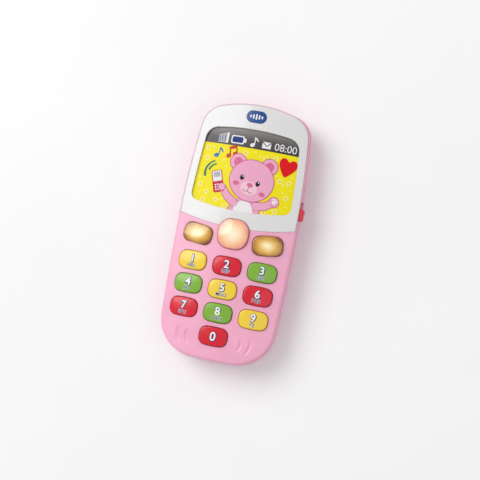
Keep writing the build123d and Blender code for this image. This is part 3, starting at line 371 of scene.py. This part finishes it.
def arc(cx, cy, radius, start, end, count=12):
    return [(cx + radius * cos(radians(start + (end - start) * i / count)),
             cy + radius * sin(radians(start + (end - start) * i / count))) for i in range(count + 1)]


def lettering(text, height, weight):
    """Flat faces of a line of text centred on the origin, its capitals that high, in millimetres."""
    curve = bpy.data.curves.new("lettering", "FONT")
    curve.body = text
    curve.size = height / 0.729
    curve.offset = weight
    curve.align_x = "CENTER"
    curve.resolution_u = 5
    holder = bpy.data.objects.new("lettering", curve)
    mesh = bpy.data.meshes.new_from_object(holder)
    bm = bmesh.new()
    bm.from_mesh(mesh)
    bpy.data.objects.remove(holder)
    bpy.data.curves.remove(curve)
    bpy.data.meshes.remove(mesh)
    middle = (min(v.co.y for v in bm.verts) + max(v.co.y for v in bm.verts)) / 2
    bmesh.ops.translate(bm, vec=(0, -middle, 0), verts=bm.verts[:])
    return bm


def shifted(bm, x, y):
    bmesh.ops.translate(bm, vec=(x, y, 0), verts=bm.verts[:])
    return bm


# =======================================================================================================
# Plastics and metals on the CAD parts
# =======================================================================================================
pink = plastic("pink_abs", PINK, 0.34, coat=0.15, soft=0.12)
white = plastic("white_abs", WHITE_SHELL, 0.25, grain=0.000004, mottling=0.02, coat=0.2)
key_colours = {
    "yellow": plastic("yellow_abs", YELLOW_KEY, 0.22, coat=0.2, soft=0.1),
    "red": plastic("red_abs", RED_KEY, 0.22, coat=0.2, soft=0.05),
    "green": plastic("green_abs", GREEN_KEY, 0.22, coat=0.2, soft=0.1),
}
steel = metal("plated_steel", (0.62, 0.62, 0.63), 0.32)
nickel = metal("nickel_plate", (0.72, 0.70, 0.66), 0.28)

dress(pink, "rear_casing", "front_casing", "battery_door")
dress(white, "faceplate")
KEY_COLOURS = dict(zip("1234567890", "yellow red green green yellow red red green yellow red".split()))
for digit, colour in KEY_COLOURS.items():
    dress(key_colours[colour], f"key_{digit}")
dress(plastic("volume_red", (0.66, 0.010, 0.035), 0.3, coat=0.3), "volume_knob")
dress(clear_window(), "screen_lens")
dress(ink("card_yellow", SCREEN_YELLOW), "screen_card")
dress(plastic("badge_blue", (0.001, 0.055, 0.25), 0.22, coat=0.15), "badge")
dress(steel, "door_screw", "casing_screws", "board_screws", "speaker_screws")
dress(nickel, "battery_contacts", "battery_springs", "switch_body", "speaker_frame")
dress(plastic("black_nylon", (0.012, 0.012, 0.013), 0.45), "switch_lever", "speaker_clamp")
dress(plastic("board_mask", (0.012, 0.11, 0.035), 0.3, mottling=0.2, coat=0.5), "circuit_board")
dress(plastic("sheet_rubber", (0.32, 0.32, 0.34), 0.7), "key_sheet")
dress(plastic("black_resin", (0.008, 0.008, 0.009), 0.25, coat=0.4), "chip_blob", "board_components")
dress(plastic("cell_wrap", (0.02, 0.10, 0.28), 0.25, coat=0.4), "battery_left", "battery_right")
dress(plastic("cone_paper", (0.02, 0.02, 0.021), 0.8, grain=0.00003), "speaker_cone")
dress(plastic("ferrite", (0.035, 0.035, 0.038), 0.6), "speaker_magnet")
dress(plastic("wire_cover", (0.50, 0.010, 0.012), 0.45), "speaker_wires", "battery_wires")

# Amber light keys: amber tint with painted glow. The colour is painted pale at the middle, where the lamp
# behind shines through, and the glow ramp is painted emission.
AMBER_TINT_AND_PAINTED_GLOW = [(0.0, (0.70, 0.62, 0.44)), (0.30, (0.66, 0.50, 0.20)), (0.62, (0.56, 0.30, 0.045)),
              (1.0, (0.19, 0.06, 0.008))]
AMBER_GLOW = [(0.0, (0.30, 0.27, 0.20)), (0.30, (0.24, 0.17, 0.07)), (0.62, (0.14, 0.07, 0.010)),
              (1.0, (0.05, 0.015, 0.002))]
# Centre key: pinkish tint at the rim with painted glow. The colour is painted pale yellow at the middle,
# where the lamp behind shines through, and the glow ramp is painted emission.
ROSE_TINT_AND_PAINTED_GLOW = [(0.0, (0.86, 0.78, 0.60)), (0.40, (0.86, 0.66, 0.44)), (0.78, (0.84, 0.44, 0.26)),
             (1.0, (0.76, 0.28, 0.30))]
ROSE_GLOW = [(0.0, (0.16, 0.15, 0.09)), (0.40, (0.14, 0.10, 0.05)), (0.78, (0.12, 0.04, 0.01)),
             (1.0, (0.04, 0.01, 0.01))]
for side in ("left", "right"):
    dress(lit_plastic(f"amber_{side}", f"light_key_{side}", AMBER_TINT_AND_PAINTED_GLOW, AMBER_GLOW, 0.98, 1.0, 0.35),
          f"light_key_{side}")
dress(lit_plastic("rose_centre", "light_key_centre", ROSE_TINT_AND_PAINTED_GLOW, ROSE_GLOW, 0.98, 1.0, 0.25),
      "light_key_centre")
lamp_glow = Nodes("lamp_glow")
lamp_glow.link(lamp_glow.ramp(lamp_glow.noise(600.0), [(0.3, (1.0, 0.70, 0.28)), (0.7, (1.0, 0.82, 0.45))]),
               lamp_glow.shader.inputs["Emission Color"])
lamp_glow.shader.inputs["Emission Strength"].default_value = 3.0
dress(lamp_glow.material, "lamp_left", "lamp_centre", "lamp_right")

# =======================================================================================================
# Digits and letters on the keys
# =======================================================================================================
key_white = ink("key_print_white", PRINT_WHITE, 0.35)
key_navy = ink("key_print_navy", NAVY, 0.4)
LETTERS = dict(zip("123456789", "ABC DEF GHI JKL MNO PQR STU VWX YZ".split()))


def print_key(digit):
    name = f"key_{digit}"
    low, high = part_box(name)
    x, y = (low.x + high.x) / 2 / MM, (low.y + high.y) / 2 / MM
    ground = Ground(name)
    height, lift = (5.2, 0.0) if digit == "0" else (4.7, 1.15)
    lay(f"{name}_digit_edge", shifted(lettering(digit, height, 0.5), x + 0.12, y + lift - 0.16), ground,
        -0.05, 0.03, name, key_navy, 0.9)
    lay(f"{name}_digit", shifted(lettering(digit, height, 0.15), x, y + lift), ground,
        -0.03, 0.06, name, key_white, 0.9)
    if digit in LETTERS:
        lay(f"{name}_letters_edge", shifted(lettering(LETTERS[digit], 2.0, 0.17), x, y - 3.0), ground,
            -0.05, 0.03, name, key_white, 0.9)
        lay(f"{name}_letters", shifted(lettering(LETTERS[digit], 2.0, 0.03), x, y - 3.0), ground,
            -0.03, 0.06, name, key_navy, 0.9)


for digit in KEY_COLOURS:
    print_key(digit)

# Five sound-level bars on the badge
BADGE_LOW, BADGE_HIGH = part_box("badge")
BADGE_Y = (BADGE_LOW.y + BADGE_HIGH.y) / 2 / MM
lay("badge_bars", flat(*[box(1.7 * i, BADGE_Y, 0.85, tall, 0.42)
                         for i, tall in zip((-2, -1, 0, 1, 2), (1.7, 2.6, 3.4, 2.6, 1.7))]),
    Ground("badge"), -0.05, 0.04, "body", key_white, 0.9)

# =======================================================================================================
# Picture on the screen card: a status bar, a waving bear and a few notes
# =======================================================================================================
CARD = Ground("screen_card")
LAYER = 0.02  # each layer of the print stands this much above the one under it, in millimetres


def picture(name, layer, material, *outlines):
    """One colour of the picture; higher layers cover lower ones."""
    return lay(name, flat(*outlines), CARD, -0.05, LAYER * layer, "body", material)


def window_part(name, layer, material, low_y, high_y):
    """The part of the screen window between two heights, in millimetres, as a print."""
    source = bmesh.new()
    source.from_mesh(nodes["screen_lens"].data)
    bmesh.ops.remove_doubles(source, verts=source.verts[:], dist=0.001 * MM)
    sides = [face for face in source.faces if face.normal.z < 0.5]
    bmesh.ops.delete(source, geom=sides, context="FACES")
    bmesh.ops.scale(source, vec=(1 / MM, 1 / MM, 1 / MM), verts=source.verts[:])
    for vertex in source.verts:
        vertex.co.z = 0.0
    for line, normal in ((low_y, Vector((0, -1, 0))), (high_y, Vector((0, 1, 0)))):
        bmesh.ops.bisect_plane(source, geom=source.verts[:] + source.edges[:] + source.faces[:],
                               plane_co=(0, line, 0), plane_no=normal, clear_outer=True)
    return lay(name, source, CARD, -0.05, LAYER * layer, "body", material, 2.0)


def flower(cx, cy, size, spin):
    """The outline of a five-petalled flower."""
    ring = []
    for i in range(40):
        angle = 2 * pi * i / 40
        reach = size * (1 + 0.16 * cos(5 * angle))
        ring.append((cx + reach * cos(angle + spin), cy + reach * sin(angle + spin)))
    return ring


def heart(cx, cy, width, height, lean):
    half = [(0, -0.52), (0.26, -0.28), (0.46, 0.02), (0.50, 0.25), (0.40, 0.44), (0.22, 0.48), (0.07, 0.38)]
    points = half + [(0, 0.27)] + [(-x, y) for x, y in half[:0:-1]]
    return turn([(cx + x * width, cy + y * height) for x, y in smooth(points, 4)], (cx, cy), lean)


def quaver(x, y, lean, size=1.0):
    """A single note with its flag: head, stem and flag outlines."""
    head = oval(x, y, 1.35 * size, 1.05 * size, 25)
    stem = box(x + 1.0 * size, y + 2.1 * size, 0.55 * size, 4.2 * size)
    flag = stroke([(x + 1.0 * size, y + 4.0 * size), (x + 2.2 * size, y + 3.2 * size),
                   (x + 2.9 * size, y + 2.4 * size)], 0.95 * size, 0.5 * size)
    return [turn(part, (x, y), lean) for part in (head, stem, flag)]


def beamed_notes(x, y, lean):
    heads = [oval(x, y, 1.45, 1.15, 20), oval(x + 4.0, y + 0.7, 1.45, 1.15, 20)]
    stems = [box(x + 1.1, y + 2.4, 0.6, 4.8), box(x + 5.1, y + 3.1, 0.6, 4.8)]
    beam = [(x + 0.8, y + 3.6), (x + 5.4, y + 4.3), (x + 5.4, y + 5.8), (x + 0.8, y + 5.1)]
    return [turn(part, (x, y), lean) for part in (*heads, *stems, beam)]


def grown(cx, cy, rx, ry, lean, edge):
    return oval(cx, cy, rx + edge, ry + edge, lean, 56)


def draw_background():
    pale = ink("screen_pale_yellow", (0.98, 0.90, 0.30))
    sunny = ink("screen_warm_yellow", (0.86, 0.60, 0.012))
    flowers = [(-25.6, 46.5), (-24.8, 40.6), (-26.0, 24.6), (-22.6, 15.6), (-15.0, 16.6), (-8.8, 13.6),
               (-2.4, 46.6), (9.8, 45.2), (15.4, 46.4), (14.6, 42.0), (25.6, 33.4), (25.4, 24.6),
               (14.4, 13.9),
               (20.6, 15.8), (-21.4, 20.4), (20.4, 33.6)]
    picture("flowers", 1, pale, *[flower(x, y, 1.45, i * 0.7) for i, (x, y) in enumerate(flowers)])
    picture("flower_middles", 2, sunny, *[oval(x, y, 0.62) for x, y in flowers])
    specks = [(-27.2, 36.0), (-22.0, 47.6), (-14.6, 40.6), (-6.4, 47.4), (3.4, 48.0), (6.4, 46.0),
              (12.4, 48.0), (18.4, 36.6), (22.6, 31.4), (27.2, 29.4), (23.4, 27.4), (27.0, 37.2),
              (22.2, 23.6), (26.6, 19.6), (17.4, 16.4), (23.6, 17.6), (12.8, 16.2), (-11.6, 17.6),
              (-18.6, 14.6), (-25.6, 19.2), (-27.4, 28.8), (-24.0, 28.6), (-12.2, 36.6), (-9.4, 40.0),
              (-15.6, 45.4), (-12.4, 20.8), (-6.6, 16.0), (-10.6, 32.6)]
    picture("specks", 1, pale, *[oval(x, y, 0.34 + 0.16 * (i % 3), count=14)
                                 for i, (x, y) in enumerate(specks)])


def draw_status_bar():
    silver = ink("screen_white", (0.86, 0.86, 0.86))
    navy = ink("screen_navy", (0.010, 0.030, 0.20))
    dark = ink("screen_dark", (0.012, 0.011, 0.011))
    window_part("status_bar", 3, bar_fade(), 49.9, 64.0)
    foot = 50.9  # all the signal bars stand on this line
    signal = [(-19.5 + 1.55 * i, 4.6 + 0.55 * i) for i in range(4)]
    picture("signal_edges", 4, silver, *[box(x, foot + tall / 2, 1.25, tall, 0.3) for x, tall in signal])
    picture("signal_bars", 5, navy, *[box(x, foot + tall / 2, 0.62, tall - 0.7, 0.2)
                                      for x, tall in signal[:3]])
    picture("battery_edge", 4, silver, box(-8.6, 53.7, 7.9, 4.9, 1.1), box(-4.2, 53.7, 1.6, 2.4, 0.4))
    picture("battery_fill", 5, navy, box(-8.6, 53.7, 6.5, 3.5, 0.8))
    picture("bar_note", 4, silver, *quaver(0.6, 51.9, 0, 1.08))
    picture("envelope", 4, silver, box(8.9, 53.1, 5.2, 3.9, 0.2))
    picture("envelope_fold", 5, dark, stroke([(6.4, 54.7), (8.9, 52.5), (11.4, 54.7)], 0.5))
    lay("clock", shifted(lettering("08:00", 4.4, 0.03), 20.2, 53.2), CARD, -0.05, 4 * LAYER, "body", silver)


def draw_notes():
    blue = ink("screen_blue", (0.020, 0.20, 0.52))
    scarlet = ink("screen_scarlet", (0.66, 0.045, 0.022))
    rust = ink("screen_rust", (0.30, 0.035, 0.020))
    green = ink("screen_green", (0.012, 0.20, 0.13))
    heart_red = ink("screen_heart_red", (0.78, 0.002, 0.010))
    picture("blue_note", 3, blue, *quaver(-19.6, 42.8, -8, 1.15))
    picture("red_notes_edge", 3, rust, *beamed_notes(-12.1, 43.4, 14))
    picture("red_notes", 4, scarlet, *beamed_notes(-12.3, 43.6, 14))
    picture("sound_waves", 3, green, stroke(arc(-16.9, 32.2, 7.6, 112, 196), 0.8, 1.5),
            stroke(arc(-16.9, 32.2, 5.5, 108, 160), 0.8, 1.3))
    picture("heart", 3, heart_red, heart(23.2, 42.2, 10.6, 10.8, -8))


def draw_little_phone():
    """The small telephone that the bear holds up."""
    centre, lean = (-15.7, 27.6), 17
    red = ink("screen_phone_red", (0.62, 0.012, 0.035))
    pale = ink("screen_phone_white", (0.84, 0.84, 0.86))
    grey = ink("screen_phone_grey", (0.45, 0.47, 0.52))
    picture("little_phone_edge", 6, red, turn(box(*centre, 6.4, 13.2, 1.1), centre, lean))
    picture("little_phone_top", 7, pale, turn(box(centre[0], centre[1] + 3.1, 5.4, 6.2, 0.7), centre, lean))
    picture("little_phone_screen", 8, grey,
            turn(box(centre[0], centre[1] + 4.0, 3.9, 3.0, 0.4), centre, lean))
    buttons = [turn(oval(centre[0] + 1.5 * i, centre[1] - 2.0 - 1.45 * j, 0.52, count=14), centre, lean)
               for i in (-1, 0, 1) for j in range(3)]
    picture("little_phone_keys", 7, pale, *buttons)


def draw_bear():
    fur = ink("bear_pink", BEAR_PINK)
    deep = ink("bear_deep_pink", BEAR_DEEP)
    line = ink("bear_line", BEAR_LINE)
    cream = ink("bear_cream", (0.93, 0.62, 0.70))
    snow = ink("bear_white", (0.90, 0.89, 0.88))
    black = ink("bear_black", (0.008, 0.006, 0.008))
    lean, edge = -14, 0.38
    head, ears = (4.2, 31.0, 13.1, 12.1), [(-5.6, 40.9), (13.1, 40.7)]
    left_arm = [(-3.6, 16.6), (-8.4, 20.0), (-12.4, 24.8)]
    right_arm = [(9.0, 16.6), (14.2, 17.4), (18.6, 20.4)]

    def torso(grow):
        side = [(-5.6 - grow, 12.02), (-4.9 - grow, 15.2), (-2.6 - grow, 18.8), (3.0, 20.6),
                (8.4 + grow, 18.8), (10.4 + grow, 15.4), (11.0 + grow, 12.42)]
        top = smooth(side, 5)[: 5 * (len(side) - 1) + 1]
        return top + [(x, 11.86 + x * x / 244) for x in (9.6, 6.0, 2.5, -1.0, -4.4)]

    picture("bear_body_line", 4, line, torso(edge))
    picture("bear_body", 5, fur, torso(0))
    picture("bear_belly", 6, snow,
            smooth([(-2.6, 12.1), (-2.7, 15.0), (-0.6, 17.8), (2.6, 18.6), (5.8, 17.6), (7.6, 15.0),
                    (7.5, 12.2)], 5))
    picture("bear_arms_line", 5, line, stroke(left_arm, 4.5 + 2 * edge, 3.8 + 2 * edge),
            stroke(right_arm, 4.5 + 2 * edge, 4.2 + 2 * edge), oval(19.2, 20.9, 2.9 + edge))
    picture("bear_arms", 6, fur, stroke(left_arm, 4.5, 3.8), stroke(right_arm, 4.5, 4.2),
            oval(19.2, 20.9, 2.9))
    picture("bear_palm", 7, snow, oval(19.4, 20.9, 1.35, 1.15, 30), *[
        oval(19.4 + 2.0 * cos(radians(a)), 20.9 + 2.0 * sin(radians(a)), 0.48, count=14)
        for a in (20, 65, 110)])
    picture("bear_ears_line", 7, line, *[oval(x, y, 4.7 + edge) for x, y in ears])
    picture("bear_ears", 8, fur, *[oval(x, y, 4.7) for x, y in ears])
    picture("bear_ear_insides", 9, deep, *[oval(x, y, 2.7) for x, y in ears])
    picture("bear_head_line", 9, line, grown(*head, lean, edge))
    picture("bear_head", 10, fur, grown(*head, lean, 0))
    picture("bear_cheeks", 11, deep, oval(-4.6, 28.4, 1.9, 1.35), oval(11.6, 24.0, 1.9, 1.35, lean))
    picture("bear_muzzle", 11, cream, oval(3.4, 26.4, 5.0, 3.9, lean))
    picture("bear_eyes", 12, black, oval(-1.6, 32.2, 1.25, 1.6, lean), oval(8.2, 29.8, 1.25, 1.6, lean))
    picture("bear_glints", 13, snow, oval(-1.2, 32.9, 0.42, count=14), oval(8.6, 30.5, 0.42, count=14))
    picture("bear_nose", 12, deep, oval(3.8, 28.3, 1.9, 1.3, lean))
    picture("bear_smile", 12, line, stroke([(3.4, 27.2), (3.1, 25.6)], 0.35),
            stroke(arc(1.7, 26.0, 1.6, 195, 330), 0.38), stroke(arc(4.7, 25.3, 1.6, 180, 315), 0.38))
    picture("bear_hand_line", 8, line, oval(-12.6, 24.8, 2.0 + edge * 0.8))
    picture("bear_hand", 9, fur, oval(-12.6, 24.8, 2.0))


draw_background()
draw_status_bar()
draw_notes()
draw_little_phone()
draw_bear()

# =======================================================================================================
# Floor, light and camera
# =======================================================================================================
def floor():
    m = Nodes("pale_floor")
    m.link(m.ramp(m.noise(6.0), [(0.3, (0.90, 0.90, 0.90)), (0.7, (0.93, 0.93, 0.93))]),
           m.shader.inputs["Base Color"])
    m.shader.inputs["Roughness"].default_value = 0.9
    bm = bmesh.new()
    bmesh.ops.create_grid(bm, x_segments=8, y_segments=8, size=1.5)
    mesh = bpy.data.meshes.new("floor")
    bm.to_mesh(mesh)
    bm.free()
    ground = bpy.data.objects.new("floor", mesh)
    ground.location.z = -0.1 * MM  # a hair below the back, so that the two faces never coincide
    bpy.context.scene.collection.objects.link(ground)
    mesh.materials.append(m.material)


def area_light(name, place, target, size, power, colour=(1, 1, 1)):
    light = bpy.data.lights.new(name, "AREA")
    light.shape = "DISK"
    light.size = size
    light.energy = power
    light.color = colour
    lamp = bpy.data.objects.new(name, light)
    lamp.location = place
    lamp.rotation_euler = (Vector(target) - Vector(place)).to_track_quat("-Z", "Y").to_euler()
    bpy.context.scene.collection.objects.link(lamp)


def daylight(strength):
    world = bpy.data.worlds.new("studio")
    world.use_nodes = True
    world.node_tree.nodes["Background"].inputs["Color"].default_value = (1, 1, 1, 1)
    world.node_tree.nodes["Background"].inputs["Strength"].default_value = strength
    bpy.context.scene.world = world


# The camera looks down on the phone, from a little to its right, with the phone's top leaning right
CAMERA_ROLL = 11.22
CAMERA_YAW = 9.68
CAMERA_PITCH = -3.53
CAMERA_DISTANCE = 0.613
CAMERA_SLIDE = (-0.00274, 0.00159)
CAMERA_AIM = (0.0, -0.00265, 0.0157)
FIELD_AT_AIM = 0.2828  # width of the picture at that distance


def make_camera():
    roll = Matrix.Rotation(radians(-CAMERA_ROLL), 3, "Z")
    pitch = Matrix.Rotation(radians(CAMERA_PITCH), 3, "X")
    yaw = Matrix.Rotation(radians(-CAMERA_YAW), 3, "Y")
    turned = roll @ pitch @ yaw
    camera = bpy.data.cameras.new("camera")
    camera.sensor_width = 36.0
    camera.lens = 36.0 * CAMERA_DISTANCE / FIELD_AT_AIM
    holder = bpy.data.objects.new("camera", camera)
    from_aim = turned.transposed() @ Vector((-CAMERA_SLIDE[0], -CAMERA_SLIDE[1], CAMERA_DISTANCE))
    holder.matrix_world = Matrix.Translation(Vector(CAMERA_AIM) + from_aim) @ turned.transposed().to_4x4()
    bpy.context.scene.collection.objects.link(holder)
    bpy.context.scene.camera = holder


floor()
daylight(0.6)
area_light("key_light", (-0.9, 0.5, 1.25), (0, 0, 0), 1.2, 14.0)
area_light("fill_light", (0.6, -0.2, 0.9), (0, 0, 0), 0.9, 0.9)
make_camera()
bpy.context.scene.view_settings.view_transform = "Standard"
